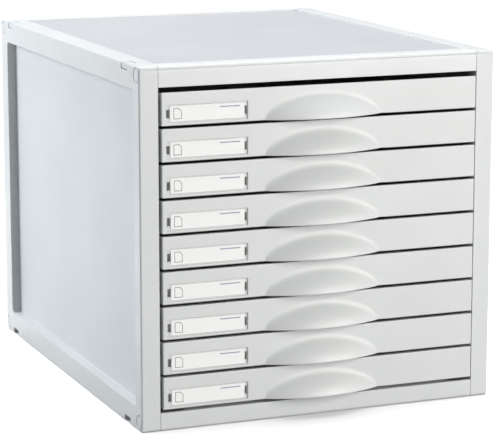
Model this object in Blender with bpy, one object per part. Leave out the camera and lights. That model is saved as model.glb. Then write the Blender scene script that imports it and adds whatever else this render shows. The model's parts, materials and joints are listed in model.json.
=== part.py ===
"""Desk-top file cabinet with nine shallow drawers, for A4 papers.

Units are metres, +Z is up, the drawers face -Y, and the origin is the middle
of the cabinet's footprint, handles included, on the surface it stands on.
Every drawer slides along -Y and hangs from an empty on its own slide line.
"""
import math

import bmesh
import bpy

# ---- driving dimensions -------------------------------------------------
WIDTH = 0.322              # over the two side panels
HEIGHT = 0.305
BODY_DEPTH = 0.400         # side panels, front edge to rear edge
FACE_PROUD = 0.0025        # drawer faces stand this far in front of the frame
LIP_REACH = 0.0125         # handle lip in front of the drawer face
DRAWERS = 9
TRAVEL = 0.250             # how far a drawer pulls out before its lugs stop it
GAP = 0.0003               # clearance between pieces that touch

# ---- frame --------------------------------------------------------------
SIDE_THICK = 0.0165
TOP_RAIL = 0.0173          # height of the rail above the drawers
BOTTOM_RAIL = 0.0153
RAIL_THICK = 0.0035        # moulded wall of the top and bottom panels
FIELD_STEP = 0.0015        # sunk field in the top panel
FIELD_FRONT = 0.019        # sunk field's edge from the front, and from the rear
FIELD_SIDE = 0.0035        # sunk field's edge from the top panel's own side
CHANNEL_FROM = 0.122       # bottom panel's side channels, from the middle
CHANNEL_DEPTH = 0.0040
EDGE_ROUND = 0.0014        # outer edges of the side panels
REAR_ROUND = 0.005         # side panel's rear corners, seen from the side
FRONT_ROUND = 0.0024       # frame's front corners, seen from the side
FIELD_ROUND = 0.002        # corners of the top panel's sunk field
OVERCUT = 0.010            # how far a cutter runs past what it cuts
BITE = 0.001               # how far a joined shape sinks into its neighbour

FRONT_Y = -(BODY_DEPTH + FACE_PROUD + LIP_REACH) / 2 + FACE_PROUD + LIP_REACH
REAR_Y = FRONT_Y + BODY_DEPTH
SIDE_OUT = WIDTH / 2
SIDE_IN = SIDE_OUT - SIDE_THICK
OPEN_LOW = BOTTOM_RAIL
OPEN_HIGH = HEIGHT - TOP_RAIL

# ---- side panels --------------------------------------------------------
RECESS_DEPTH = 0.008       # outer face sinks this far inside its border
RECESS_FRONT = 0.016       # border widths around the sunk field
RECESS_REAR = 0.021
RECESS_EDGE = 0.020
RECESS_ROUND = 0.0035
SKIN = 0.003               # wall left between the sunk field and the inside
STILE_DEPTH = 0.0155
REAR_STILE = 0.012
LEDGE_REACH = 0.0080       # runner ledges stand this far inside the stiles
LEDGE_THICK = 0.0030
LEDGE_START = 0.0085       # behind the frame's front face

# ---- corner pegs and stacking slots ------------------------------------
PEG_HEAD_R = 0.0057
PEG_SHANK_R = 0.0027
PEG_INSET = 0.0074         # peg axis from the frame's front and top faces
PEG_HEAD_THICK = 0.0020
PEG_LENGTH = 0.0245
PEG_SIDES = 20
BOSS = 0.0150              # solid corner of the top and bottom panels
SLOT_LENGTH = 0.0150
SLOT_HEIGHT = 0.0057
SLOT_DEPTH = 0.0090
SLOT_FRONT = 0.0360        # slot centre behind the front face
SLOT_REAR = 0.0330         # slot centre ahead of the rear face

# ---- drawers ------------------------------------------------------------
FRONT_HEIGHT = 0.0275
FRONT_GAP = 0.0022
TOP_CLEAR = 0.0039         # between the top rail and the first drawer
SIDE_CLEAR = 0.0018
FRONT_WALL = 0.0020
FRONT_SKIRT = 0.0100       # how far the front's rim runs back
CHAMFER = 0.0012
TRAY_WALL = 0.0018
TRAY_SIDE_CLEAR = 0.0040   # tray's side wall inside the stile's inner face
TRAY_BOTTOM = 0.0024       # above the front's lower edge
TRAY_TOP = 0.0034          # below the front's upper edge
TRAY_BEHIND = 0.0066       # tray's front wall behind the drawer face
TRAY_REAR_CLEAR = 0.0025
LUG_REACH = 0.0075
LUG_LENGTH = 0.0060
LUG_LOW = 0.0030
LUG_HIGH = 0.0110
PITCH = FRONT_HEIGHT + FRONT_GAP

# ---- handle moulded into each drawer front ------------------------------
HANDLE_HALF = 0.0525       # from the middle to a foot of the arch
ARCH_HEIGHT = 0.0195
SCOOP = 0.0050             # how strongly the scoop cuts in below the arch
SCOOP_SHARP = 6
HANDLE_COLUMNS = 12
SCOOP_ROWS = (0.0, 0.09, 0.2, 0.38, 0.62, 0.84)
LEAST_BAND = 0.0065        # height of the rows beside the handle

# ---- label holder on each drawer front ----------------------------------
LABEL_WIDTH = 0.0713
LABEL_HEIGHT = 0.0145
LABEL_LEFT = 0.0040        # from the front's left edge
LABEL_LOW = 0.0025         # above the front's lower edge
POCKET_DEPTH = 0.0012
WINDOW_THICK = 0.0010
CARD_THICK = 0.0003
CARD_WIDTH = 0.0650
CARD_HEIGHT = 0.0125
CLIP_HEIGHT = 0.0070
CLIP_SLOTS = (0.0028, 0.0020)   # widths of the left and the right slot
CLIP_END = 0.0004          # slot's outer edge inside the window's end
CLIP_LEG = 0.0030

# ---- back ---------------------------------------------------------------
BACK_THICK = 0.0030
BACK_INSET = 0.0030

FACE_Y = FRONT_Y - FACE_PROUD
FRONT_HALF = SIDE_IN - SIDE_CLEAR
TRAY_HALF = SIDE_IN - TRAY_SIDE_CLEAR


# ---- small tools --------------------------------------------------------
def clear_scene():
    for obj in list(bpy.data.objects):
        bpy.data.objects.remove(obj, do_unlink=True)


def material(name, colour, roughness, metallic=0.0, transmission=0.0):
    mat = bpy.data.materials.new(name)
    mat.use_nodes = True
    shader = mat.node_tree.nodes["Principled BSDF"]
    shader.inputs["Base Color"].default_value = (*colour, 1.0)
    shader.inputs["Roughness"].default_value = roughness
    shader.inputs["Metallic"].default_value = metallic
    shader.inputs["Transmission Weight"].default_value = transmission
    return mat


def new_object(name, bm, mat=None, parent=None):
    bmesh.ops.recalc_face_normals(bm, faces=bm.faces)
    mesh = bpy.data.meshes.new(name)
    bm.to_mesh(mesh)
    bm.free()
    return place_mesh(name, mesh, mat, parent)


def place_mesh(name, mesh, mat=None, parent=None):
    obj = bpy.data.objects.new(name, mesh)
    bpy.context.scene.collection.objects.link(obj)
    if mat and not mesh.materials:
        mesh.materials.append(mat)
    obj.parent = parent
    return obj


def add_box(bm, low, high):
    """Add a closed box between two opposite corners, given in any order."""
    xs, ys, zs = [sorted(pair) for pair in zip(low, high)]
    corners = [bm.verts.new((x, y, z)) for x in xs for y in ys for z in zs]
    for face in ((0, 1, 3, 2), (4, 6, 7, 5), (0, 4, 5, 1),
                 (2, 3, 7, 6), (0, 2, 6, 4), (1, 5, 7, 3)):
        bm.faces.new([corners[i] for i in face])


def add_prism(bm, outline, start, end, to_point):
    """Add a closed prism: an outline swept from start to end."""
    low = [bm.verts.new(to_point(u, v, start)) for u, v in outline]
    high = [bm.verts.new(to_point(u, v, end)) for u, v in outline]
    bm.faces.new(low)
    bm.faces.new(high)
    for i in range(len(outline)):
        j = (i + 1) % len(outline)
        bm.faces.new((low[i], low[j], high[j], high[i]))


def add_turned(bm, profile, centre, sides):
    """Add a closed solid turned about an X axis through centre=(y, z)."""
    rings = []
    for x, radius in profile:
        ring = []
        for k in range(sides):
            angle = 2 * math.pi * k / sides
            y = centre[0] + radius * math.cos(angle)
            z = centre[1] + radius * math.sin(angle)
            ring.append(bm.verts.new((x, y, z)))
        rings.append(ring)
    bm.faces.new(rings[0])
    bm.faces.new(rings[-1])
    for near, far in zip(rings, rings[1:]):
        for k in range(sides):
            m = (k + 1) % sides
            bm.faces.new((near[k], near[m], far[m], far[k]))


def rounded_outline(low, high, radii, steps=4):
    """Outline of a rectangle; radii run from the low corner anticlockwise."""
    corners = ((low[0], low[1], 180), (high[0], low[1], 270),
               (high[0], high[1], 0), (low[0], high[1], 90))
    points = []
    for (u, v, start), radius in zip(corners, radii):
        cu = u + radius if u == low[0] else u - radius
        cv = v + radius if v == low[1] else v - radius
        for k in range(steps + 1):
            angle = math.radians(start + 90 * k / steps)
            points.append((cu + radius * math.cos(angle), cv + radius * math.sin(angle)))
    return points


def helper(name, build):
    """A shape used only by Booleans: never rendered, drawn as wire."""
    bm = bmesh.new()
    build(bm)
    obj = new_object(name, bm)
    obj.hide_render = True
    obj.display_type = "WIRE"
    return obj


def combine(obj, other, operation):
    step = obj.modifiers.new(operation.title() + " " + other.name, "BOOLEAN")
    step.operation = operation
    step.solver = "EXACT"
    step.object = other


def round_edges(bm, width, segments, wanted):
    """Round the edges for which wanted(middle of the edge, its direction) holds."""
    bmesh.ops.recalc_face_normals(bm, faces=bm.faces)
    edges = []
    for edge in bm.edges:
        start, end = (vert.co for vert in edge.verts)
        if wanted((start + end) / 2, (end - start).normalized()):
            edges.append(edge)
    bmesh.ops.bevel(bm, geom=edges, offset=width, segments=segments, affect="EDGES", profile=0.5)


def settled_mesh(obj, name):
    """The object's mesh with its modifiers applied, for pieces that share it."""
    view = bpy.context.evaluated_depsgraph_get()
    mesh = bpy.data.meshes.new_from_object(obj.evaluated_get(view))
    mesh.name = name
    return mesh


# ---- places -------------------------------------------------------------
def front_top(index):
    """Upper edge of a drawer front; index 0 is the top drawer."""
    return OPEN_HIGH - TOP_CLEAR - index * PITCH


def tray_low(index):
    return front_top(index) - FRONT_HEIGHT + TRAY_BOTTOM


def peg_centres():
    """The (y, z) of the four corner pegs of one side, by place name."""
    ys = {"front": FRONT_Y + PEG_INSET, "rear": REAR_Y - PEG_INSET}
    zs = {"top": HEIGHT - PEG_INSET, "bottom": PEG_INSET}
    return {f"{a}_{b}": (ys[a], zs[b]) for a in ys for b in zs}


def slot_places():
    return {"front": FRONT_Y + SLOT_FRONT, "rear": REAR_Y - SLOT_REAR}


# ---- cabinet ------------------------------------------------------------
def side_panel(name, side, mat):
    """Moulded side wall: bordered outer face, runner ledges inside."""
    def along_x(u, v, x):
        return (x, u, v)

    def shell(bm):
        outline = rounded_outline((FRONT_Y, 0), (REAR_Y, HEIGHT),
                                  (FRONT_ROUND, REAR_ROUND, REAR_ROUND, FRONT_ROUND))
        add_prism(bm, outline, side * SIDE_IN, side * SIDE_OUT, along_x)
        round_edges(bm, EDGE_ROUND, 2, lambda middle, _: abs(middle.x) > SIDE_OUT - GAP)

    def recess(bm):
        outline = rounded_outline((FRONT_Y + RECESS_FRONT, RECESS_EDGE),
                                  (REAR_Y - RECESS_REAR, HEIGHT - RECESS_EDGE),
                                  (RECESS_ROUND,) * 4)
        add_prism(bm, outline, side * (SIDE_OUT - RECESS_DEPTH), side * (SIDE_OUT + OVERCUT), along_x)

    def inside(bm):
        add_box(bm, (side * (SIDE_OUT - RECESS_DEPTH - SKIN), FRONT_Y + STILE_DEPTH, OPEN_LOW + GAP),
                (side * (SIDE_IN - OVERCUT), REAR_Y - REAR_STILE, OPEN_HIGH - GAP))

    def ledges(bm):
        for index in range(DRAWERS):
            high = tray_low(index) - GAP
            add_box(bm, (side * (SIDE_IN - LEDGE_REACH), FRONT_Y + LEDGE_START, high - LEDGE_THICK),
                    (side * (SIDE_OUT - RECESS_DEPTH - SKIN + BITE), REAR_Y - REAR_STILE + BITE, high))

    def peg_holes(bm):
        step = SIDE_OUT - PEG_HEAD_THICK - 2 * GAP
        for centre in peg_centres().values():
            add_turned(bm, ((side * (SIDE_IN - OVERCUT), PEG_SHANK_R + GAP),
                            (side * step, PEG_SHANK_R + GAP),
                            (side * step, PEG_HEAD_R + GAP),
                            (side * (SIDE_OUT + OVERCUT), PEG_HEAD_R + GAP)), centre, PEG_SIDES)

    def slots(bm):
        half = SLOT_LENGTH / 2
        for y in slot_places().values():
            for low, high in ((-OVERCUT, SLOT_HEIGHT), (HEIGHT - SLOT_HEIGHT, HEIGHT + OVERCUT)):
                add_box(bm, (side * (SIDE_OUT - SLOT_DEPTH), y - half, low),
                        (side * (SIDE_OUT + OVERCUT), y + half, high))

    bm = bmesh.new()
    shell(bm)
    panel = new_object(name, bm, mat)
    combine(panel, helper(name + "_recess", recess), "DIFFERENCE")
    combine(panel, helper(name + "_inside", inside), "DIFFERENCE")
    combine(panel, helper(name + "_ledges", ledges), "UNION")
    combine(panel, helper(name + "_peg_holes", peg_holes), "DIFFERENCE")
    combine(panel, helper(name + "_slots", slots), "DIFFERENCE")
    return panel


def cross_cavity(bm, low, high, boss):
    """Cavity with its four corners left solid, as a cross-shaped prism."""
    (x0, y0, z0), (x1, y1, z1) = low, high
    outline = ((x0, y0 + boss), (x0 + boss, y0 + boss), (x0 + boss, y0),
               (x1 - boss, y0), (x1 - boss, y0 + boss), (x1, y0 + boss),
               (x1, y1 - boss), (x1 - boss, y1 - boss), (x1 - boss, y1),
               (x0 + boss, y1), (x0 + boss, y1 - boss), (x0, y1 - boss))
    add_prism(bm, outline, z0, z1, lambda u, v, z: (u, v, z))


def level_panel(name, low_z, high_z, outer_z, mat, cuts):
    """Top or bottom panel: a block whose hollow side faces down."""
    half = SIDE_IN - GAP
    bm = bmesh.new()
    add_box(bm, (-half, FRONT_Y, low_z), (half, REAR_Y, high_z))
    round_edges(bm, FRONT_ROUND, 3,
                lambda middle, run: abs(middle.z - outer_z) < GAP and abs(run.x) > 0.5)
    panel = new_object(name, bm, mat)

    def peg_holes(bm):
        end = SIDE_OUT - PEG_LENGTH - 2 * GAP
        for centre in peg_centres().values():
            if low_z < centre[1] < high_z:
                for side in (-1, 1):
                    add_turned(bm, ((side * end, PEG_SHANK_R + GAP),
                                    (side * SIDE_OUT, PEG_SHANK_R + GAP)), centre, PEG_SIDES)

    for label, build in (*cuts, ("_peg_holes", peg_holes)):
        combine(panel, helper(name + label, build), "DIFFERENCE")
    return panel


def panel_cavity(low_z, ceiling):
    """Builder for the hollow under a level panel, up to its ceiling."""
    def cavity(bm):
        half = SIDE_IN - GAP - RAIL_THICK
        cross_cavity(bm, (-half, FRONT_Y + RAIL_THICK, low_z - OVERCUT),
                     (half, REAR_Y - RAIL_THICK, ceiling), BOSS - RAIL_THICK)
    return cavity


def top_panel(mat):
    def field(bm):
        half = SIDE_IN - GAP - FIELD_SIDE
        outline = rounded_outline((-half, FRONT_Y + FIELD_FRONT), (half, REAR_Y - FIELD_FRONT),
                                  (FIELD_ROUND,) * 4, steps=2)
        add_prism(bm, outline, HEIGHT - FIELD_STEP, HEIGHT + OVERCUT, lambda u, v, z: (u, v, z))

    cavity = panel_cavity(OPEN_HIGH, HEIGHT - FIELD_STEP - RAIL_THICK)
    return level_panel("top_panel", OPEN_HIGH, HEIGHT, HEIGHT, mat,
                       (("_field", field), ("_cavity", cavity)))


def bottom_panel(mat):
    """Its middle is level with the rail; a sunk channel runs along each side."""
    floor = OPEN_LOW - CHANNEL_DEPTH

    def channels(bm):
        for side in (-1, 1):
            add_box(bm, (side * CHANNEL_FROM, FRONT_Y + RAIL_THICK, floor),
                    (side * (SIDE_IN + OVERCUT), REAR_Y - RAIL_THICK, OPEN_LOW + OVERCUT))

    def middle(bm):
        half = CHANNEL_FROM - RAIL_THICK
        add_box(bm, (-half, FRONT_Y + RAIL_THICK, -OVERCUT),
                (half, REAR_Y - RAIL_THICK, OPEN_LOW - RAIL_THICK))

    cavity = panel_cavity(0.0, floor - RAIL_THICK)
    return level_panel("bottom_panel", 0.0, OPEN_LOW, 0.0, mat,
                       (("_channels", channels), ("_cavity", cavity), ("_middle", middle)))


def corner_peg(name, side, centre, mat):
    """Push-in peg that joins a side panel to the top or bottom panel."""
    face = SIDE_OUT - GAP / 2
    bm = bmesh.new()
    add_turned(bm, ((side * face, PEG_HEAD_R),
                    (side * (face - PEG_HEAD_THICK), PEG_HEAD_R),
                    (side * (face - PEG_HEAD_THICK), PEG_SHANK_R),
                    (side * (SIDE_OUT - PEG_LENGTH), PEG_SHANK_R)), centre, PEG_SIDES)
    return new_object(name, bm, mat)


def slot_cover(name, side, y, mat):
    """Blanking piece in a side panel's upper stacking slot."""
    half = SLOT_LENGTH / 2 - GAP
    bm = bmesh.new()
    add_box(bm, (side * (SIDE_OUT - SLOT_DEPTH + GAP), y - half, HEIGHT - SLOT_HEIGHT + GAP),
            (side * (SIDE_OUT - GAP), y + half, HEIGHT - GAP))
    return new_object(name, bm, mat)


def back_panel(mat):
    half = SIDE_IN - GAP
    bm = bmesh.new()
    add_box(bm, (-half, REAR_Y - BACK_INSET - BACK_THICK, OPEN_LOW + GAP),
            (half, REAR_Y - BACK_INSET, OPEN_HIGH - GAP))
    return new_object("back_panel", bm, mat)


# ---- drawers: every mesh is made about the drawer's own origin, which is
# ---- the middle of the front's lower edge, in the plane of its face -------
def handle_share(x):
    """1 in the middle of the handle, falling to 0 at its feet and beyond."""
    return max(0.0, 1.0 - (x / HANDLE_HALF) ** 2)


def face_offset(x, z):
    """How far the front's surface stands out (+) or in (-) at x, z."""
    share = handle_share(x)
    arch = ARCH_HEIGHT * share
    if share == 0.0 or z >= arch:
        return 0.0
    down = 1.0 - z / arch
    reach = LIP_REACH * share
    cut = SCOOP * math.sqrt(share)
    return (reach + cut) * down ** 2 - cut * (1.0 - (1.0 - down) ** SCOOP_SHARP)


def front_columns():
    step = 2 * HANDLE_HALF / HANDLE_COLUMNS
    handle = [-HANDLE_HALF + step * k for k in range(HANDLE_COLUMNS + 1)]
    return handle


def add_front_skin(bm, inset, back):
    """One skin of the drawer front and its rim; returns its edge as a loop.

    The outer skin has inset = back = 0, and the inner one is moved in by the
    wall thickness. Rows run down the face and columns run from left to right.
    """
    half = FRONT_HALF - inset
    top = FRONT_HEIGHT - inset
    edge = CHAMFER
    xs = [-half, -half + edge, *front_columns(), half - edge, half]
    grid = []
    for column, x in enumerate(xs):
        at_side = column in (0, len(xs) - 1)
        in_handle = abs(x) < HANDLE_HALF * 0.999
        low = 0.0 if in_handle else inset
        band = max(ARCH_HEIGHT * handle_share(x), LEAST_BAND)
        zs = [top, top - edge]
        zs += [low + edge + (band - low - edge) * (1 - t) for t in SCOOP_ROWS]
        zs += [low + edge, low]
        line = []
        for row, z in enumerate(zs):
            if in_handle and row == len(zs) - 1:
                y = back - face_offset(x, 0.0)
            elif at_side or row in (0, len(zs) - 1):
                y = back + edge
            else:
                y = back - face_offset(x, z)
            line.append(bm.verts.new((x, y, z)))
        grid.append(line)
    for left, right in zip(grid, grid[1:]):
        for row in range(len(left) - 1):
            bm.faces.new((left[row], left[row + 1], right[row + 1], right[row]))

    first = next(i for i, x in enumerate(xs) if abs(x + HANDLE_HALF) < 1e-6)
    last = next(i for i, x in enumerate(xs) if abs(x - HANDLE_HALF) < 1e-6)
    rim = [grid[i][-1] for i in range(first, -1, -1)]
    rim += [grid[0][row] for row in range(len(grid[0]) - 2, -1, -1)]
    rim += [line[0] for line in grid[1:]]
    rim += [grid[-1][row] for row in range(1, len(grid[-1]))]
    rim += [grid[i][-1] for i in range(len(xs) - 2, last - 1, -1)]
    behind = [bm.verts.new((v.co.x, FRONT_SKIRT, v.co.z)) for v in rim]
    for k in range(len(rim) - 1):
        bm.faces.new((rim[k], rim[k + 1], behind[k + 1], behind[k]))
    lip = [grid[i][-1] for i in range(last, first - 1, -1)]
    return behind + lip


def drawer_front_mesh():
    """Moulded drawer front: a shell with a rim, handle and label pocket."""
    bm = bmesh.new()
    outer = add_front_skin(bm, 0.0, 0.0)
    inner = add_front_skin(bm, FRONT_WALL, FRONT_WALL)
    for k in range(len(outer)):
        m = (k + 1) % len(outer)
        bm.faces.new((outer[k], outer[m], inner[m], inner[k]))
    blank = new_object("front_blank", bm)

    def pocket(bm):
        x0 = -FRONT_HALF + LABEL_LEFT
        add_box(bm, (x0 - GAP, -OVERCUT, LABEL_LOW - GAP),
                (x0 + LABEL_WIDTH + GAP, POCKET_DEPTH, LABEL_LOW + LABEL_HEIGHT + GAP))

    def clip_slots(bm):
        for low, high in clip_slot_spans():
            middle = LABEL_LOW + LABEL_HEIGHT / 2
            add_box(bm, (low, -OVERCUT, middle - CLIP_HEIGHT / 2),
                    (high, OVERCUT, middle + CLIP_HEIGHT / 2))

    cutters = [helper("label_pocket", pocket), helper("label_clip_slots", clip_slots)]
    for cutter in cutters:
        combine(blank, cutter, "DIFFERENCE")
    mesh = settled_mesh(blank, "drawer_front")
    for obj in (blank, *cutters):
        bpy.data.objects.remove(obj, do_unlink=True)
    return mesh


def clip_slot_spans():
    """The x spans of the two slots that the label window's clips enter."""
    left = -FRONT_HALF + LABEL_LEFT + CLIP_END
    right = -FRONT_HALF + LABEL_LEFT + LABEL_WIDTH - CLIP_END
    return ((left, left + CLIP_SLOTS[0]), (right - CLIP_SLOTS[1], right))


def label_window_mesh():
    """Clear cover over the card, with a clip leg behind each end."""
    x0 = -FRONT_HALF + LABEL_LEFT
    back = POCKET_DEPTH - 2 * GAP - CARD_THICK
    bm = bmesh.new()
    add_box(bm, (x0, back - WINDOW_THICK, LABEL_LOW),
            (x0 + LABEL_WIDTH, back, LABEL_LOW + LABEL_HEIGHT))
    plate = new_object("window_plate", bm)

    def legs(bm):
        middle = LABEL_LOW + LABEL_HEIGHT / 2
        reach = CLIP_HEIGHT / 2 - GAP
        for low, high in clip_slot_spans():
            add_box(bm, (low + GAP, back - WINDOW_THICK / 2, middle - reach),
                    (high - GAP, back + CLIP_LEG, middle + reach))

    clips = helper("window_legs", legs)
    combine(plate, clips, "UNION")
    mesh = settled_mesh(plate, "label_window")
    bpy.data.objects.remove(plate, do_unlink=True)
    bpy.data.objects.remove(clips, do_unlink=True)
    return mesh


def label_card_mesh():
    x0 = -FRONT_HALF + LABEL_LEFT + CLIP_SLOTS[0] + 2 * CLIP_END
    z0 = LABEL_LOW + (LABEL_HEIGHT - CARD_HEIGHT) / 2
    bm = bmesh.new()
    add_box(bm, (x0, POCKET_DEPTH - GAP - CARD_THICK, z0),
            (x0 + CARD_WIDTH, POCKET_DEPTH - GAP, z0 + CARD_HEIGHT))
    bmesh.ops.recalc_face_normals(bm, faces=bm.faces)
    mesh = bpy.data.meshes.new("label_card")
    bm.to_mesh(mesh)
    bm.free()
    return mesh


def drawer_tray_mesh():
    """Open tray that carries the papers, with a stop lug on each side."""
    front = TRAY_BEHIND
    rear = REAR_Y - BACK_INSET - BACK_THICK - TRAY_REAR_CLEAR - FACE_Y
    top = FRONT_HEIGHT - TRAY_TOP
    bm = bmesh.new()
    add_box(bm, (-TRAY_HALF, front, TRAY_BOTTOM), (TRAY_HALF, rear, top))
    blank = new_object("tray_blank", bm)

    def inside(bm):
        add_box(bm, (-TRAY_HALF + TRAY_WALL, front + TRAY_WALL, TRAY_BOTTOM + TRAY_WALL),
                (TRAY_HALF - TRAY_WALL, rear - TRAY_WALL, top + OVERCUT))

    def lugs(bm):
        stop = FACE_PROUD + STILE_DEPTH + TRAVEL + GAP
        for side in (-1, 1):
            add_box(bm, (side * (TRAY_HALF - TRAY_WALL / 2), stop, TRAY_BOTTOM + LUG_LOW),
                    (side * (TRAY_HALF + LUG_REACH), stop + LUG_LENGTH, TRAY_BOTTOM + LUG_HIGH))

    parts = [helper("tray_inside", inside), helper("tray_lugs", lugs)]
    combine(blank, parts[0], "DIFFERENCE")
    combine(blank, parts[1], "UNION")
    mesh = settled_mesh(blank, "drawer_tray")
    for obj in (blank, *parts):
        bpy.data.objects.remove(obj, do_unlink=True)
    return mesh


def build_drawers(mats):
    pieces = (("drawer_front", drawer_front_mesh(), mats["front"]),
              ("drawer_tray", drawer_tray_mesh(), mats["tray"]),
              ("label_window", label_window_mesh(), mats["window"]),
              ("label_card", label_card_mesh(), mats["card"]))
    for index in range(DRAWERS):
        slide = bpy.data.objects.new(f"drawer_{index + 1}_slide", None)
        slide.location = (0, FACE_Y, front_top(index) - FRONT_HEIGHT)
        bpy.context.scene.collection.objects.link(slide)
        for name, mesh, mat in pieces:
            place_mesh(f"{name}_{index + 1}", mesh, mat, slide)


def build_cabinet(mats):
    for word, side in (("left", -1), ("right", 1)):
        side_panel(f"{word}_side_panel", side, mats["case"])
        for place, centre in peg_centres().items():
            corner_peg(f"corner_peg_{word}_{place}", side, centre, mats["case"])
        for place, y in slot_places().items():
            slot_cover(f"slot_cover_{word}_{place}", side, y, mats["case"])
    top_panel(mats["case"])
    bottom_panel(mats["case"])
    back_panel(mats["case"])


def main():
    clear_scene()
    mats = {
        "case": material("case_plastic", (0.68, 0.70, 0.71), 0.45),
        "front": material("front_plastic", (0.70, 0.72, 0.72), 0.42),
        "tray": material("tray_plastic", (0.62, 0.64, 0.65), 0.50),
        "window": material("clear_plastic", (0.95, 0.96, 0.96), 0.08, transmission=0.9),
        "card": material("label_card", (0.90, 0.90, 0.88), 0.75),
    }
    build_cabinet(mats)
    build_drawers(mats)


main()
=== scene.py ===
"""Looks of the nine-drawer desk-top file cabinet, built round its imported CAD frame.

Lengths are in metres, and a name that ends in _DEG is an angle in degrees. Pieces
take their places from the frame's boxes; only finer features, such as fillets and
grain, are sized here.
"""

import json
import math

import bmesh
import bpy
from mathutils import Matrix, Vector


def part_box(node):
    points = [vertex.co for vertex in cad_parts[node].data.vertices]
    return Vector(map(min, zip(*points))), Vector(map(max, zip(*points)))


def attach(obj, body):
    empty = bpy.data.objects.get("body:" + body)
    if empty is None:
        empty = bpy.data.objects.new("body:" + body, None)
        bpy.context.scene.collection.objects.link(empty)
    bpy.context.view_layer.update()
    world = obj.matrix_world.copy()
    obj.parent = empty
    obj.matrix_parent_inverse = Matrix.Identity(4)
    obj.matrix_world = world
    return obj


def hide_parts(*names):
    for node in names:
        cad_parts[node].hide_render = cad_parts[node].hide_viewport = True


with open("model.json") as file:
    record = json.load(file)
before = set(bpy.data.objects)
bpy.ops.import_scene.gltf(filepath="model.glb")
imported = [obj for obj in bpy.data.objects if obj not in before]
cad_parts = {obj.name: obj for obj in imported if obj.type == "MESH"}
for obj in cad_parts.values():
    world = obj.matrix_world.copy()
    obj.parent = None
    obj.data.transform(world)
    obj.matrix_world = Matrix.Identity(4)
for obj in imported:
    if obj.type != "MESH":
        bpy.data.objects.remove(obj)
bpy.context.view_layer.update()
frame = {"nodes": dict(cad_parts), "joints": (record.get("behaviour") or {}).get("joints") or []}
BOX = {node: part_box(node) for node in frame["nodes"]}
DRAWERS = sum(1 for joint in frame["joints"] if joint["type"] == "slide")
TRAVEL = frame["joints"][0]["range_m"][1]

MM = 0.001
GAP = 0.3 * MM                 # clearance between neighbours
OVERLAP = 1 * MM               # how far a cutter or a joined shape runs past a surface
OVERCUT = 10 * MM              # the same, for a cutter that has to run well clear
FACE_PROUD = 2.5 * MM          # how far the drawer faces stand in front of the stiles

# ---- what the frame says ------------------------------------------------
OUT_X = BOX["right_side_panel"][1].x            # outer face of the side panels
IN_X = BOX["top_panel"][1].x + GAP              # inner face of the stiles
FRONT_Y = BOX["right_side_panel"][0].y
REAR_Y = BOX["right_side_panel"][1].y
HEIGHT = BOX["right_side_panel"][1].z
OPEN_LOW = BOX["bottom_panel"][1].z
OPEN_HIGH = BOX["top_panel"][0].z
PEG_INNER_X = BOX["corner_peg_right_front_top"][0].x
FACE_Y = FRONT_Y - FACE_PROUD                   # plane of the drawer faces
FRONT_HALF = BOX["drawer_front_1"][1].x
FRONT_HEIGHT = BOX["drawer_front_1"][1].z - BOX["drawer_front_1"][0].z
LIP_REACH = FACE_Y - BOX["drawer_front_1"][0].y

# ---- small tools --------------------------------------------------------
LEAST_RADIUS = 0.05 * MM       # of a rounded corner, however far its outline is shrunk
SHARP_DEG = 32                 # edges that turn more than this stay sharp
FACING = 0.99                  # cosine, for a face that looks straight along an axis


def near(a, b):
    """Whether two places are the same, to within the clearance between neighbours."""
    return abs(a - b) < GAP


def add_box(bm, low, high):
    """Closed box between two opposite corners, given in any order."""
    xs, ys, zs = [sorted(pair) for pair in zip(low, high)]
    corners = [bm.verts.new((x, y, z)) for x in xs for y in ys for z in zs]
    for face in ((0, 1, 3, 2), (4, 6, 7, 5), (0, 4, 5, 1),
                 (2, 3, 7, 6), (0, 2, 6, 4), (1, 5, 7, 3)):
        bm.faces.new([corners[i] for i in face])


def add_loft(bm, rings):
    """Closed solid through rings of equal point counts, capped at both ends."""
    made = [[bm.verts.new(point) for point in ring] for ring in rings]
    bm.faces.new(made[0])
    bm.faces.new(made[-1])
    for near_ring, far_ring in zip(made, made[1:]):
        for k in range(len(near_ring)):
            m = (k + 1) % len(near_ring)
            bm.faces.new((near_ring[k], near_ring[m], far_ring[m], far_ring[k]))


def rounded_rect(low, high, radius, grow=0.0, steps=6):
    """Rounded rectangle in (u, v), grown outwards by grow, or shrunk if negative."""
    u0, v0, u1, v1 = low[0] - grow, low[1] - grow, high[0] + grow, high[1] + grow
    radii = radius if isinstance(radius, tuple) else (radius,) * 4
    points = []
    corners = ((u0, v0, 180), (u1, v0, 270), (u1, v1, 0), (u0, v1, 90))
    for (u, v, start), r in zip(corners, radii):
        r = max(r + grow, LEAST_RADIUS)
        cu = u + r if u == u0 else u - r
        cv = v + r if v == v0 else v - r
        for k in range(steps + 1):
            angle = math.radians(start + 90 * k / steps)
            points.append((cu + r * math.cos(angle), cv + r * math.sin(angle)))
    return points


def fillet(radius, steps=5):
    """(inset, depth) pairs of a quarter circle, from a face round to its side."""
    turns = [math.radians(90 * k / steps) for k in range(steps + 1)]
    return [(radius * (1 - math.sin(a)), radius * (1 - math.cos(a))) for a in turns]


def circle(centre, radius, sides=48):
    """Points (u, v) round a centre."""
    turns = [2 * math.pi * k / sides for k in range(sides)]
    return [(centre[0] + radius * math.cos(a), centre[1] + radius * math.sin(a)) for a in turns]


def at_x(x, points):
    """Flat points (u, v) as (y, z) at one x."""
    return [(x, u, v) for u, v in points]


def at_y(y, points):
    """Flat points (u, v) as (x, z) at one y."""
    return [(u, y, v) for u, v in points]


def at_z(z, points):
    """Flat points (u, v) as (x, y) at one z."""
    return [(u, v, z) for u, v in points]


def evenly(start, end, step):
    """Points from start to end, about a step apart, without the end."""
    count = max(1, round(abs(end - start) / step))
    return [start + (end - start) * k / count for k in range(count)]


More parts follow.
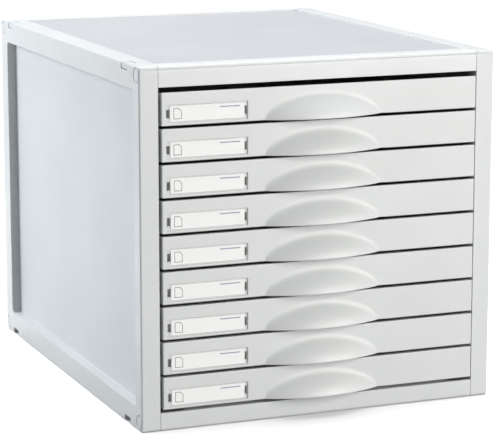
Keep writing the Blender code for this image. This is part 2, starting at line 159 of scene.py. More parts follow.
def to_mesh(bm, name):
    """The mesh of a bmesh, which is then freed."""
    mesh = bpy.data.meshes.new(name)
    bm.to_mesh(mesh)
    bm.free()
    return mesh


def add_object(name, data):
    """An object for a mesh, light or camera, linked into the scene."""
    obj = bpy.data.objects.new(name, data)
    bpy.context.scene.collection.objects.link(obj)
    return obj


def closed_object(bm, name):
    """An object whose faces all look outwards, as a Boolean needs."""
    bmesh.ops.recalc_face_normals(bm, faces=bm.faces)
    return add_object(name, to_mesh(bm, name))


def shaded(mesh, sharp_deg=SHARP_DEG):
    """The same mesh, smooth except along its sharp edges."""
    mesh.shade_smooth()
    mesh.set_sharp_from_angle(angle=math.radians(sharp_deg))
    return mesh


def carve(name, base, steps, sharp_deg=SHARP_DEG):
    """A finished mesh made from a base and Boolean steps of (operation, builder)."""
    blank = closed_object(base, name)
    tools = []
    for operation, build in steps:
        bm = bmesh.new()
        build(bm)
        tool = closed_object(bm, name + "_tool")
        step = blank.modifiers.new(operation, "BOOLEAN")
        step.operation = operation
        step.solver = "EXACT"
        step.object = tool
        tools.append(tool)
    view = bpy.context.evaluated_depsgraph_get()
    mesh = bpy.data.meshes.new_from_object(blank.evaluated_get(view))
    mesh.name = name
    for obj in (blank, *tools):
        bpy.data.objects.remove(obj, do_unlink=True)
    return shaded(mesh, sharp_deg)


def piece_mesh(bm, name):
    """A finished mesh straight from a bmesh."""
    bmesh.ops.recalc_face_normals(bm, faces=bm.faces)
    return shaded(to_mesh(bm, name))


def add_piece(name, mesh, body, mats, replaced=(), at=(0, 0, 0)):
    """Place a finished mesh as a piece that rides on a CAD body."""
    obj = add_object(name, mesh)
    obj.location = at
    if not mesh.materials:
        for mat in mats:
            mesh.materials.append(mat)
    normals = obj.modifiers.new("Weighted normals", "WEIGHTED_NORMAL")
    normals.keep_sharp = True
    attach(obj, body)
    if replaced:
        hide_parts(*replaced)


# ---- materials ----------------------------------------------------------
# A noise's scale is its number of features in a metre.
NOISE_LOW = 0.3                # most of a noise lies between these two
NOISE_HIGH = 0.7
DRIFT_SCALE = 14.0             # slow drift of a moulding's tone
TONE_SWING = 0.025
SHEEN_SCALE = 90.0             # patches of slightly different gloss
SHEEN_SWING = 0.04
GRAIN_SIZE = 0.5 * MM
GRAIN_HEIGHT = 0.1 * MM
PLAIN_GRAIN = 0.05             # strength of the grain on smooth mouldings
PLASTIC_IOR = 1.5
FLOW_SCALE = 60.0              # flow marks in the clear windows
CLEAR_ROUGHNESS = (0.04, 0.10)
CLEAR_COLOUR = (0.86, 0.88, 0.88)
CLEAR_ALPHA = 0.08
CLEAR_IOR = 1.49
FIBRE_SCALE = 700.0
FIBRE_SHADE = 0.97             # how dark a card's fibres are against its colour
FIBRE_HEIGHT = 0.05 * MM
FIBRE_STRENGTH = 0.05
MATT = 0.8                     # roughness of the cards and the floor


class Nodes:
    """Short way to build a node material round one Principled shader."""

    def __init__(self, name):
        self.mat = bpy.data.materials.new(name)
        self.mat.use_nodes = True
        self.tree = self.mat.node_tree
        self.shader = self.tree.nodes["Principled BSDF"]

    def add(self, kind, inputs=(), **settings):
        """A new node with its settings and then its (input, value) pairs."""
        node = self.tree.nodes.new(kind)
        for key, value in settings.items():
            setattr(node, key, value)
        for key, value in inputs:
            node.inputs[key].default_value = value
        return node

    def only(self, kind):
        """The material's one node of a kind, made when it is first asked for."""
        return self.tree.nodes.get(kind) or self.add(kind, name=kind)

    def link(self, source, target):
        self.tree.links.new(source, target)

    def shader_value(self, key, value):
        """An input of the shader that is the same all over the surface."""
        self.shader.inputs[key].default_value = value

    def noise(self, scale, detail, roughness=0.5):
        """Noise in a piece's own space, shifted from piece to piece."""
        made = self.add("ShaderNodeTexNoise", (("Scale", scale), ("Detail", detail),
                                               ("Roughness", roughness)), noise_dimensions="4D")
        self.link(self.only("ShaderNodeTexCoord").outputs["Object"], made.inputs["Vector"])
        self.link(self.only("ShaderNodeObjectInfo").outputs["Random"], made.inputs["W"])
        return made.outputs["Fac"]

    def spread(self, source, low, high):
        """A noise's useful middle range, mapped onto low..high."""
        span = self.add("ShaderNodeMapRange", (("From Min", NOISE_LOW), ("From Max", NOISE_HIGH),
                                               ("To Min", low), ("To Max", high)))
        self.link(source, span.inputs["Value"])
        return span.outputs["Result"]

    def roughness(self, source, low, high):
        """Gloss that varies between two roughnesses with a noise."""
        self.link(self.spread(source, low, high), self.shader.inputs["Roughness"])

    def colour(self, source, dark, light):
        """Base colour that runs from dark to light with a noise."""
        mix = self.add("ShaderNodeMix", (("A", (*dark, 1)), ("B", (*light, 1))), data_type="RGBA")
        self.link(self.spread(source, 0, 1), mix.inputs["Factor"])
        self.link(mix.outputs["Result"], self.shader.inputs["Base Color"])

    def bump(self, source, strength, height):
        """Relief of a given height, from a noise."""
        made = self.add("ShaderNodeBump", (("Strength", strength), ("Distance", height)))
        self.link(source, made.inputs["Height"])
        self.link(made.outputs["Normal"], self.shader.inputs["Normal"])


def moulded_plastic(name, colour, roughness, grain=PLAIN_GRAIN):
    """Satin injection-moulded plastic: fine spark grain, slight tone drift."""
    nodes = Nodes(name)
    dark = [c * (1 - TONE_SWING) for c in colour]
    light = [min(1.0, c * (1 + TONE_SWING)) for c in colour]
    nodes.colour(nodes.noise(DRIFT_SCALE, detail=3.0), dark, light)
    sheen = nodes.noise(SHEEN_SCALE, detail=4.0)
    nodes.roughness(sheen, roughness - SHEEN_SWING, roughness + SHEEN_SWING)
    sparks = nodes.noise(1.0 / GRAIN_SIZE, detail=2.0, roughness=0.6)
    nodes.bump(sparks, grain, GRAIN_HEIGHT)
    nodes.shader_value("IOR", PLASTIC_IOR)
    return nodes.mat


def clear_plastic(name):
    """Thin clear cover: mostly see-through, with gloss and faint flow marks."""
    nodes = Nodes(name)
    nodes.roughness(nodes.noise(FLOW_SCALE, detail=2.0), *CLEAR_ROUGHNESS)
    nodes.shader_value("Base Color", (*CLEAR_COLOUR, 1))
    nodes.shader_value("Alpha", CLEAR_ALPHA)
    nodes.shader_value("IOR", CLEAR_IOR)
    return nodes.mat


def paper(name, colour):
    """Matt card, or ink printed on it, with fine fibres."""
    nodes = Nodes(name)
    fibre = nodes.noise(FIBRE_SCALE, detail=5.0, roughness=0.7)
    nodes.colour(fibre, [c * FIBRE_SHADE for c in colour], colour)
    nodes.bump(fibre, FIBRE_STRENGTH, FIBRE_HEIGHT)
    nodes.shader_value("Roughness", MATT)
    return nodes.mat


def make_materials():
    """Every material of the object, by the names that the pieces use below."""
    return {
        "case": moulded_plastic("case_plastic", (0.635, 0.65, 0.655), 0.40),
        "top": moulded_plastic("top_plastic", (0.67, 0.685, 0.69), 0.40),
        "side_field": moulded_plastic("side_field_plastic", (0.70, 0.725, 0.74), 0.55, grain=0.3),
        "peg": moulded_plastic("peg_plastic", (0.61, 0.63, 0.65), 0.38),
        "field": moulded_plastic("field_plastic", (0.43, 0.435, 0.457), 0.6, grain=0.35),
        "front": moulded_plastic("front_plastic", (0.635, 0.65, 0.65), 0.38),
        "tray": moulded_plastic("tray_plastic", (0.58, 0.60, 0.61), 0.45),
        "window": clear_plastic("clear_plastic"),
        "card": paper("card_white", (0.97, 0.97, 0.96)),
        "grey_ink": paper("grey_ink", (0.10, 0.10, 0.11)),
        "violet_ink": paper("violet_ink", (0.32, 0.25, 0.42)),
    }


# ---- side panels --------------------------------------------------------
BORDER_FRONT = 16 * MM
BORDER_REAR = 21 * MM
BORDER_EDGE = 20 * MM          # above and below the sunk field
RECESS_DEPTH = 8 * MM
RECESS_CORNER = 3.5 * MM
RECESS_LIP = 1.0 * MM          # convex fillet where the border turns in
RECESS_ROOT = 1.6 * MM         # concave fillet at the sunk field's edge
OUTER_ROUND = 1.5 * MM
JOINT_ROUND = 0.25 * MM        # broken edges where two mouldings meet
SEAM_ROUND = 0.8 * MM          # the level panels' edges along the side panels
REAR_CORNER = 5 * MM
FRONT_CORNER = 2.4 * MM        # of the side panels, and the level panels' front and rear edges
SKIN = 3 * MM                  # wall behind the sunk field
STILE_DEPTH = 15.5 * MM
REAR_STILE = 12 * MM
LEDGE_REACH = 8 * MM
LEDGE_THICK = 3 * MM
LEDGE_START = 8.5 * MM
PEG_INSET = 7.4 * MM
PEG_HEAD_R = 5.7 * MM
PEG_SHANK_R = 2.7 * MM
PEG_HEAD_THICK = 2.0 * MM
PEG_RIM = 0.55 * MM            # broken edge of the panel round each peg
PEG_EDGE = 0.5 * MM
PEG_TIP = 1 * MM               # length of the taper at a peg's inner end
SLOT_DEPTH = 9 * MM            # behind the slot covers in the upper edge
LOW_SLOT_DEPTH = 13 * MM       # of the open slots in the lower edge
GROOVE_START = 2.0 * MM        # groove along the front, down from the upper edge
GROOVE_ROOT = 3.3 * MM
GROOVE_END = 6.0 * MM
GROOVE_DEPTH = 0.65 * MM
GROOVE_FADE = 4 * MM
GROOVE_TAIL = 0.02             # share of the groove's depth that is left at its ends


def peg_centres():
    """(y, z) of the four pegs in each side panel."""
    ys = (FRONT_Y + PEG_INSET, REAR_Y - PEG_INSET)
    zs = (PEG_INSET, HEIGHT - PEG_INSET)
    return [(y, z) for y in ys for z in zs]


def front_groove(bm):
    """Cutter for a shallow groove under the upper front edge, fading out at its ends."""
    end = OUT_X - OUTER_ROUND
    full = end - GROOVE_FADE
    start_z, root_z, end_z = (HEIGHT - fall for fall in (GROOVE_START, GROOVE_ROOT, GROOVE_END))
    rings = []
    for x, share in ((-end, GROOVE_TAIL), (-full, 1.0), (full, 1.0), (end, GROOVE_TAIL)):
        outline = ((FRONT_Y - OVERLAP, start_z), (FRONT_Y, start_z),
                   (FRONT_Y + GROOVE_DEPTH * share, root_z),
                   (FRONT_Y, end_z), (FRONT_Y - OVERLAP, end_z))
        rings.append(at_x(x, outline))
    add_loft(bm, rings)


def side_panel_mesh(word, side):
    """Moulded side wall: filleted border, sunk outer field, ledges inside."""
    low, high = (FRONT_Y, 0.0), (REAR_Y, HEIGHT)
    corners = (FRONT_CORNER, REAR_CORNER, REAR_CORNER, FRONT_CORNER)

    shell = bmesh.new()
    rings = [(IN_X, JOINT_ROUND), (IN_X + JOINT_ROUND, 0.0)]
    rings += [(OUT_X - depth, inset) for inset, depth in reversed(fillet(OUTER_ROUND))]
    add_loft(shell, [at_x(side * x, rounded_rect(low, high, corners, -inset)) for x, inset in rings])

    def recess(bm):
        a = (FRONT_Y + BORDER_FRONT, BORDER_EDGE)
        b = (REAR_Y - BORDER_REAR, HEIGHT - BORDER_EDGE)
        floor_x = OUT_X - RECESS_DEPTH
        rings = [(OUT_X + OVERLAP, RECESS_LIP + OVERLAP)]
        rings += [(OUT_X - depth, inset) for inset, depth in fillet(RECESS_LIP)]
        rings += [(floor_x + inset, -depth) for inset, depth in fillet(RECESS_ROOT)]
        add_loft(bm, [at_x(side * x, rounded_rect(a, b, RECESS_CORNER, grow)) for x, grow in rings])

    def inside(bm):
        add_box(bm, (side * (OUT_X - RECESS_DEPTH - SKIN), FRONT_Y + STILE_DEPTH, OPEN_LOW + GAP),
                (side * (IN_X - OVERCUT), REAR_Y - REAR_STILE, OPEN_HIGH - GAP))

    def ledges(bm):
        x0, x1 = side * (IN_X - LEDGE_REACH), side * (OUT_X - RECESS_DEPTH - SKIN + OVERLAP)
        for k in range(1, DRAWERS + 1):
            high_z = BOX[f"drawer_tray_{k}"][0].z - GAP
            add_box(bm, (x0, FRONT_Y + LEDGE_START, high_z - LEDGE_THICK),
                    (x1, REAR_Y - REAR_STILE + OVERLAP, high_z))

    def peg_holes(bm):
        seat = OUT_X - PEG_HEAD_THICK - 2 * GAP
        for centre in peg_centres():
            steps = ((IN_X - OVERCUT, PEG_SHANK_R + GAP), (seat, PEG_SHANK_R + GAP),
                     (seat, PEG_HEAD_R + GAP), (OUT_X - PEG_RIM, PEG_HEAD_R + GAP),
                     (OUT_X + OVERCUT, PEG_HEAD_R + GAP + PEG_RIM + OVERCUT))
            add_loft(bm, [at_x(side * x, circle(centre, r)) for x, r in steps])

    def slots(bm):
        for place in ("front", "rear"):
            low_c, high_c = BOX[f"slot_cover_{word}_{place}"]
            height = HEIGHT - low_c.z + GAP
            for z0, z1, depth in ((HEIGHT - height, HEIGHT + OVERCUT, SLOT_DEPTH),
                                  (-OVERCUT, height, LOW_SLOT_DEPTH)):
                add_box(bm, (side * (OUT_X - depth), low_c.y - GAP, z0),
                        (side * (OUT_X + OVERCUT), high_c.y + GAP, z1))

    return carve(f"side_{word}", shell, (("DIFFERENCE", recess), ("DIFFERENCE", inside),
                                         ("UNION", ledges), ("DIFFERENCE", peg_holes),
                                         ("DIFFERENCE", slots), ("DIFFERENCE", front_groove)))


def peg_mesh(side):
    """Push-in peg, made about its own axis at y = z = 0."""
    face = OUT_X - GAP / 2
    steps = [(face - depth, PEG_HEAD_R - inset) for inset, depth in fillet(PEG_EDGE, 3)]
    steps += [(face - PEG_HEAD_THICK, PEG_HEAD_R), (face - PEG_HEAD_THICK, PEG_SHANK_R),
              (PEG_INNER_X + PEG_TIP, PEG_SHANK_R), (PEG_INNER_X, PEG_SHANK_R - PEG_TIP / 2)]
    bm = bmesh.new()
    add_loft(bm, [at_x(side * x, circle((0, 0), r)) for x, r in steps])
    return piece_mesh(bm, "peg")


def slot_cover_mesh(box):
    """Small cover that fills a slot in a side panel's upper edge."""
    bm = bmesh.new()
    add_box(bm, *box)
    bmesh.ops.bevel(bm, geom=bm.edges[:], offset=PEG_EDGE, segments=2, affect="EDGES", profile=0.5)
    return piece_mesh(bm, "slot_cover")


# ---- top, bottom and back panels ----------------------------------------
RAIL_THICK = 3.5 * MM
FIELD_EDGE = 3.5 * MM          # from the top panel's sides to its sunk field
FIELD_END = 19 * MM            # from its front and rear
FIELD_STEP = 1.5 * MM
FIELD_ROUND = FIELD_STEP / 3
FIELD_CORNER = 2.0 * MM
BOSS = 15 * MM                 # solid corners that take the pegs
CHANNEL_FROM = 122 * MM        # half-width of the bottom panel's raised middle
CHANNEL_DEPTH = 4 * MM
BACK_STEP = 1.0 * MM
BACK_BORDER = 12 * MM
WIDE_ROUND = 1 * MM            # rounds wider than this get more segments


def rounded_block(low, high, widths):
    """Box whose edges are rounded; widths gives a width for an edge's middle."""
    bm = bmesh.new()
    add_box(bm, low, high)
    groups = {}
    for edge in bm.edges:
        middle = (edge.verts[0].co + edge.verts[1].co) / 2
        groups.setdefault(widths(middle), []).append(edge)
    for width in sorted(groups, reverse=True):
        edges = [edge for edge in groups[width] if edge.is_valid]
        segments = 5 if width > WIDE_ROUND else 2
        bmesh.ops.bevel(bm, geom=edges, offset=width, segments=segments, affect="EDGES",
                        profile=0.5)
    return bm


def cavity(low_z, ceiling):
    """Builder of the hollow under a level panel, with solid corner bosses."""
    def build(bm):
        x1 = IN_X - GAP - RAIL_THICK
        y0, y1 = FRONT_Y + RAIL_THICK, REAR_Y - RAIL_THICK
        b = BOSS - RAIL_THICK
        outline = ((-x1, y0 + b), (b - x1, y0 + b), (b - x1, y0), (x1 - b, y0), (x1 - b, y0 + b),
                   (x1, y0 + b), (x1, y1 - b), (x1 - b, y1 - b), (x1 - b, y1), (b - x1, y1),
                   (b - x1, y1 - b), (-x1, y1 - b))
        add_loft(bm, [at_z(low_z - OVERCUT, outline), at_z(ceiling, outline)])
    return build


def level_panel_mesh(name, outer_z, steps):
    """Top or bottom panel, with rounded edges on its outer side, at outer_z."""
    low, high = BOX[name]

    def width(middle):
        if not near(middle.z, outer_z):
            return JOINT_ROUND
        at_end = near(middle.y, low.y) or near(middle.y, high.y)
        return FRONT_CORNER if at_end else SEAM_ROUND

    def peg_bores(bm):
        for y, z in peg_centres():
            if low.z < z < high.z:
                bore = circle((y, z), PEG_SHANK_R + GAP)
                for side in (-1, 1):
                    add_loft(bm, [at_x(side * x, bore) for x in (PEG_INNER_X - GAP, OUT_X)])

    return carve(name, rounded_block(low, high, width), (*steps, ("DIFFERENCE", peg_bores)))


def top_panel_mesh():
    """Top panel with a sunk field and the groove along its front."""
    def field(bm):
        half = IN_X - GAP - FIELD_EDGE
        a, b = (-half, FRONT_Y + FIELD_END), (half, REAR_Y - FIELD_END)
        floor_z = HEIGHT - FIELD_STEP
        rings = [(HEIGHT + OVERLAP, FIELD_ROUND + OVERLAP)]
        rings += [(HEIGHT - depth, inset) for inset, depth in fillet(FIELD_ROUND, 3)]
        rings += [(floor_z + inset, -depth) for inset, depth in fillet(FIELD_ROUND, 3)]
        add_loft(bm, [at_z(z, rounded_rect(a, b, FIELD_CORNER, grow)) for z, grow in rings])

    return level_panel_mesh("top_panel", HEIGHT, (
        ("DIFFERENCE", field), ("DIFFERENCE", front_groove),
        ("DIFFERENCE", cavity(OPEN_HIGH, HEIGHT - FIELD_STEP - RAIL_THICK))))


def bottom_panel_mesh():
    """Bottom panel whose floor is level with its front rail, lower beside the ledges."""
    floor = OPEN_LOW - CHANNEL_DEPTH

    def channels(bm):
        for side in (-1, 1):
            add_box(bm, (side * CHANNEL_FROM, FRONT_Y + RAIL_THICK, floor),
                    (side * (IN_X + OVERCUT), REAR_Y - RAIL_THICK, OPEN_LOW + OVERCUT))

    def middle(bm):
        half = CHANNEL_FROM - RAIL_THICK
        add_box(bm, (-half, FRONT_Y + RAIL_THICK, -OVERCUT),
                (half, REAR_Y - RAIL_THICK, OPEN_LOW - RAIL_THICK))

    return level_panel_mesh("bottom_panel", 0.0, (
        ("DIFFERENCE", channels), ("DIFFERENCE", cavity(0.0, floor - RAIL_THICK)),
        ("DIFFERENCE", middle)))


def back_panel_mesh():
    """Back plate with a shallow sunk field, like the side panels'."""
    low, high = BOX["back_panel"]

    def field(bm):
        a = (low.x + BACK_BORDER, low.z + BACK_BORDER)
        b = (high.x - BACK_BORDER, high.z - BACK_BORDER)
        rings = [(high.y + OVERLAP, BACK_STEP / 2 + OVERLAP)]
        rings += [(high.y - depth, inset) for inset, depth in fillet(BACK_STEP / 2, 3)]
        rings += [(high.y - BACK_STEP + inset, -depth) for inset, depth in fillet(BACK_STEP / 2, 3)]
        add_loft(bm, [at_y(y, rounded_rect(a, b, RECESS_CORNER, grow)) for y, grow in rings])

    return carve("back", rounded_block(low, high, lambda middle: JOINT_ROUND),
                 (("DIFFERENCE", field),))


# ---- drawer fronts and labels -------------------------------------------
# Each mesh of a drawer is made about its drawer_origin, and all nine drawers share it.
FRONT_WALL = 2.0 * MM
FRONT_SKIRT = 10 * MM          # how far the front's side walls run back
FRONT_SHARP_DEG = 40
FACE_ROUND = 0.8 * MM
SKIRT_DRAFT = 1.3 * MM         # fall of the top wall from the face to its rear edge
HANDLE_HALF = 52.5 * MM
ARCH_HEIGHT = 19.5 * MM
ARCH_POWER = 0.62              # below 1 makes the arch rounder than a parabola
ARCH_BLEND = 3.5 * MM          # half-width of the hollow fillet along the arch
BULGE_POWER = 1.5              # above 1 makes the handle steepest under the arch
FINE_STEP = 1.2 * MM           # across the handle
COARSE_STEP = 9 * MM           # across the rest of the face
ROW_STEP = 0.85 * MM
EDGE_ROW = 1.5 * MM

LABEL_WIDTH = BOX["label_window_1"][1].x - BOX["label_window_1"][0].x
LABEL_LEFT = BOX["label_window_1"][0].x
LABEL_LOW = BOX["label_window_1"][0].z - BOX["drawer_front_1"][0].z
LABEL_HEIGHT = BOX["label_window_1"][1].z - BOX["label_window_1"][0].z
LABEL_CORNER = 0.9 * MM
POCKET_DEPTH = 1.2 * MM
CARD_THICK = 0.3 * MM
WINDOW_THICK = 1.0 * MM
WINDOW_ROUND = 0.35 * MM
CLIP_HEIGHT = 7 * MM
CLIP_SLOTS = (2.8 * MM, 2.0 * MM)               # widths of the left and right slots
CLIP_END = 0.4 * MM
CLIP_LEG = 3 * MM


def drawer_origin(k):
    """Middle of a drawer front's lower edge, in the plane of the drawer faces."""
    return Vector((0.0, FACE_Y, BOX[f"drawer_front_{k}"][0].z))


def first_drawer_box(node):
    """The box of one of the first drawer's nodes, from that drawer's origin."""
    low, high = BOX[node]
    return low - drawer_origin(1), high - drawer_origin(1)


def handle_share(x):
    """How far the handle stands out at x, from 0 at its ends to 1 in the middle."""
    return max(0.0, 1.0 - (x / HANDLE_HALF) ** 2)


def face_offset(x, z):
    """How far the front stands out at x, z: a bulge from the arch down to the lip."""
    share = handle_share(x)
    if share == 0.0:
        return 0.0
    arch = ARCH_HEIGHT * share ** ARCH_POWER
    below = arch - z
    blend = min(ARCH_BLEND, 0.5 * arch)
    if below <= -blend:
        return 0.0
    if below < blend:
        below = (below + blend) ** 2 / (4 * blend)
    down = min(1.0, below / arch)
    return LIP_REACH * share * (1.0 - (1.0 - down) ** BULGE_POWER)


def skin_columns(inset):
    """x of each column of a front's skin, and which columns the handle starts and ends at."""
    squeeze = (FRONT_HALF - inset - HANDLE_HALF) / (FRONT_HALF - HANDLE_HALF)
    side = [FRONT_HALF, *evenly(FRONT_HALF - EDGE_ROW, HANDLE_HALF, COARSE_STEP), HANDLE_HALF]
    side = [HANDLE_HALF + (x - HANDLE_HALF) * squeeze for x in side]
    middle = evenly(-HANDLE_HALF, HANDLE_HALF, FINE_STEP)[1:]
    xs = [-x for x in side] + middle + side[::-1]
    return xs, len(side) - 1, len(side) + len(middle)


def skin_rows():
    """Height of each row of a skin, from 0 at its lower edge to 1 at its upper edge."""
    zs = [0.0, *evenly(EDGE_ROW, FRONT_HEIGHT - EDGE_ROW, ROW_STEP), FRONT_HEIGHT - EDGE_ROW]
    return [z / FRONT_HEIGHT for z in zs] + [1.0]


def add_front_skin(bm, inset, back):
    """One skin of a drawer front, open at the rear and under the handle.

    Returns three lists of vertices. The rim runs round the face from the handle's
    left end to its right end, the rear edge lies behind the rim, and the lip runs
    back along the handle.
    """
    xs, first, last = skin_columns(inset)
    rows = skin_rows()
    top = FRONT_HEIGHT - inset
    grid = []
    for x in xs:
        low = 0.0 if handle_share(x) > 0.0 else inset
        zs = [low + (top - low) * row for row in rows]
        grid.append([bm.verts.new((x, back - face_offset(x, z), z)) for z in zs])
    for left, right in zip(grid, grid[1:]):
        for k in range(len(rows) - 1):
            bm.faces.new((left[k], left[k + 1], right[k + 1], right[k]))
    rim = [grid[i][0] for i in range(first, -1, -1)]
    rim += grid[0][1:]
    rim += [line[-1] for line in grid[1:]]
    rim += grid[-1][-2::-1]
    rim += [grid[i][0] for i in range(len(xs) - 2, last - 1, -1)]
    rear = []
    for v in rim:
        fall = SKIRT_DRAFT if v.co.z > top - GAP else 0.0
        rear.append(bm.verts.new((v.co.x, FRONT_SKIRT, v.co.z - fall)))
    for k in range(len(rim) - 1):
        bm.faces.new((rim[k], rim[k + 1], rear[k + 1], rear[k]))
    lip = [grid[i][0] for i in range(last, first - 1, -1)]
    return rim, rear, lip


def clip_slot_spans():
    """(low x, high x) of the two slots that a label window clips into."""
    left = LABEL_LEFT + CLIP_END
    right = LABEL_LEFT + LABEL_WIDTH - CLIP_END
    return ((left, left + CLIP_SLOTS[0]), (right - CLIP_SLOTS[1], right))


def label_outline(grow):
    """Outline (x, z) of a label window, grown outwards by grow."""
    low = (LABEL_LEFT, LABEL_LOW)
    high = (LABEL_LEFT + LABEL_WIDTH, LABEL_LOW + LABEL_HEIGHT)
    return rounded_rect(low, high, LABEL_CORNER, grow, steps=4)


def drawer_front_mesh():
    """Thin moulded front: a handle that bulges under an arch, and a label pocket."""
    bm = bmesh.new()
    rim, rear, lip = add_front_skin(bm, 0.0, 0.0)
    _, inner_rear, inner_lip = add_front_skin(bm, FRONT_WALL, FRONT_WALL)
    outer_loop, inner_loop = rear + lip, inner_rear + inner_lip
    for k in range(len(outer_loop)):
        m = (k + 1) % len(outer_loop)
        bm.faces.new((outer_loop[k], outer_loop[m], inner_loop[m], inner_loop[k]))
    bmesh.ops.recalc_face_normals(bm, faces=bm.faces)
    front_loop = rim + lip[1:-1]
    pairs = zip(front_loop, front_loop[1:] + front_loop[:1])
    edges = [bm.edges.get(pair) for pair in pairs]
    for vert, behind in zip(rim, rear):
        at_side = near(abs(vert.co.x), FRONT_HALF)
        if at_side and (near(vert.co.z, 0.0) or near(vert.co.z, FRONT_HEIGHT)):
            edges.append(bm.edges.get((vert, behind)))
    bmesh.ops.bevel(bm, geom=[edge for edge in edges if edge], offset=FACE_ROUND, segments=4,
                    affect="EDGES", profile=0.5)

    def pocket(cut):
        add_loft(cut, [at_y(y, label_outline(GAP)) for y in (-OVERCUT, POCKET_DEPTH)])

    def slots(cut):
        middle = LABEL_LOW + LABEL_HEIGHT / 2
        for low, high in clip_slot_spans():
            add_box(cut, (low, -OVERCUT, middle - CLIP_HEIGHT / 2),
                    (high, OVERCUT, middle + CLIP_HEIGHT / 2))

    return carve("drawer_front", bm, (("DIFFERENCE", pocket), ("DIFFERENCE", slots)),
                 FRONT_SHARP_DEG)


def label_window_mesh():
    """Clear cover with softly rounded edges and a clip leg behind each end."""
    back = POCKET_DEPTH - 2 * GAP - CARD_THICK
    plate = bmesh.new()
    rings = [(back - WINDOW_THICK + depth, -inset) for inset, depth in fillet(WINDOW_ROUND, 3)]
    add_loft(plate, [at_y(y, label_outline(grow)) for y, grow in rings + [(back, 0.0)]])

    def legs(bm):
        middle = LABEL_LOW + LABEL_HEIGHT / 2
        for low, high in clip_slot_spans():
            add_box(bm, (low + GAP, back - WINDOW_THICK / 2, middle - CLIP_HEIGHT / 2 + GAP),
                    (high - GAP, back + CLIP_LEG, middle + CLIP_HEIGHT / 2 - GAP))

    return carve("label_window", plate, (("UNION", legs),))


def label_card_mesh():
    """Plain card behind a label window."""
    low, high = first_drawer_box("label_card_1")
    bm = bmesh.new()
    add_box(bm, low, high)
    return piece_mesh(bm, "label_card")


# ---- printed marks on each card: a blank sheet sign and a plain rule --------
PRINT_LIFT = 0.05 * MM
PRINT_THICK = 0.02 * MM
LINE_WIDE = 0.45 * MM
SIGN_LEFT = 3.2 * MM           # from the card's left edge
SIGN_SIZE = (6.6 * MM, 8.4 * MM)
SIGN_FOLD = 2.2 * MM
RULE_SIZE = (18 * MM, 0.9 * MM)
RULE_PLACE = (43 * MM, 9.6 * MM)                # from the card's lower left corner


def add_line(bm, start, end, y):
    """Flat printed line between two (x, z) points, with square ends."""
    run = Vector((end[0] - start[0], 0, end[1] - start[1])).normalized() * LINE_WIDE / 2
    across = Vector((-run.z, 0, run.x))
    a = Vector((start[0], y, start[1])) - run
    b = Vector((end[0], y, end[1])) + run
    corners = [a - across, b - across, b + across, a + across]
    rings = [[tuple(c + Vector((0, d, 0))) for c in corners] for d in (0.0, PRINT_THICK)]
    add_loft(bm, rings)


def sign_mesh():
    """Outline of a sheet of paper with a folded corner."""
    low, high = first_drawer_box("label_card_1")
    x0, x1 = low.x + SIGN_LEFT, low.x + SIGN_LEFT + SIGN_SIZE[0]
    z0 = (low.z + high.z - SIGN_SIZE[1]) / 2
    z1 = z0 + SIGN_SIZE[1]
    y = low.y - PRINT_LIFT
    points = ((x0, z0), (x1, z0), (x1, z1 - SIGN_FOLD), (x1 - SIGN_FOLD, z1), (x0, z1))
    bm = bmesh.new()
    for start, end in zip(points, points[1:] + points[:1]):
        add_line(bm, start, end, y)
    return piece_mesh(bm, "card_sign")


def rule_mesh():
    """Short plain rule near a card's upper right corner."""
    low, _ = first_drawer_box("label_card_1")
    x0, z0 = low.x + RULE_PLACE[0], low.z + RULE_PLACE[1]
    bm = bmesh.new()
    add_box(bm, (x0, low.y - PRINT_LIFT, z0),
            (x0 + RULE_SIZE[0], low.y - PRINT_LIFT + PRINT_THICK, z0 + RULE_SIZE[1]))
    return piece_mesh(bm, "card_rule")


# ---- trays --------------------------------------------------------------
TRAY_CLEAR = 4.0 * MM          # from a tray's side walls to the stiles' inner faces
TRAY_HALF = IN_X - TRAY_CLEAR
TRAY_WALL = 1.8 * MM
TRAY_CORNER = 3.0 * MM
TRAY_ROOT = 1.5 * MM
TRAY_RIM = 0.5 * MM
LUG_LOW = 3 * MM               # from the tray's underside
LUG_HIGH = 11 * MM
LUG_LENGTH = 6 * MM


def drawer_tray_mesh():
    """Open tray with rounded corners and a stop lug on each side."""
    low, high = first_drawer_box("drawer_tray_1")
    a, b = (-TRAY_HALF, low.y), (TRAY_HALF, high.y)
    c, d = (a[0] + TRAY_WALL, a[1] + TRAY_WALL), (b[0] - TRAY_WALL, b[1] - TRAY_WALL)
    floor = low.z + TRAY_WALL
    outer = bmesh.new()
    rings = [(low.z + depth, -inset) for inset, depth in fillet(TRAY_RIM, 3)]
    rings += [(high.z - depth, -inset) for inset, depth in reversed(fillet(TRAY_RIM, 3))]
    add_loft(outer, [at_z(z, rounded_rect(a, b, TRAY_CORNER, grow)) for z, grow in rings])

    def inside(bm):
        rings = [(floor + inset, -depth) for inset, depth in reversed(fillet(TRAY_ROOT, 4))]
        rings += [(high.z - TRAY_RIM, 0.0), (high.z, TRAY_RIM / 2),
                  (high.z + OVERLAP, TRAY_RIM / 2 + OVERLAP)]
        add_loft(bm, [at_z(z, rounded_rect(c, d, TRAY_CORNER - TRAY_RIM, grow)) for z, grow in rings])

    def lugs(bm):
        stop = FRONT_Y + STILE_DEPTH + TRAVEL + GAP - FACE_Y
        for side in (-1, 1):
            add_box(bm, (side * (TRAY_HALF - TRAY_WALL / 2), stop, low.z + LUG_LOW),
                    (side * high.x, stop + LUG_LENGTH, low.z + LUG_HIGH))

    return carve("drawer_tray", outer, (("DIFFERENCE", inside), ("UNION", lugs)))


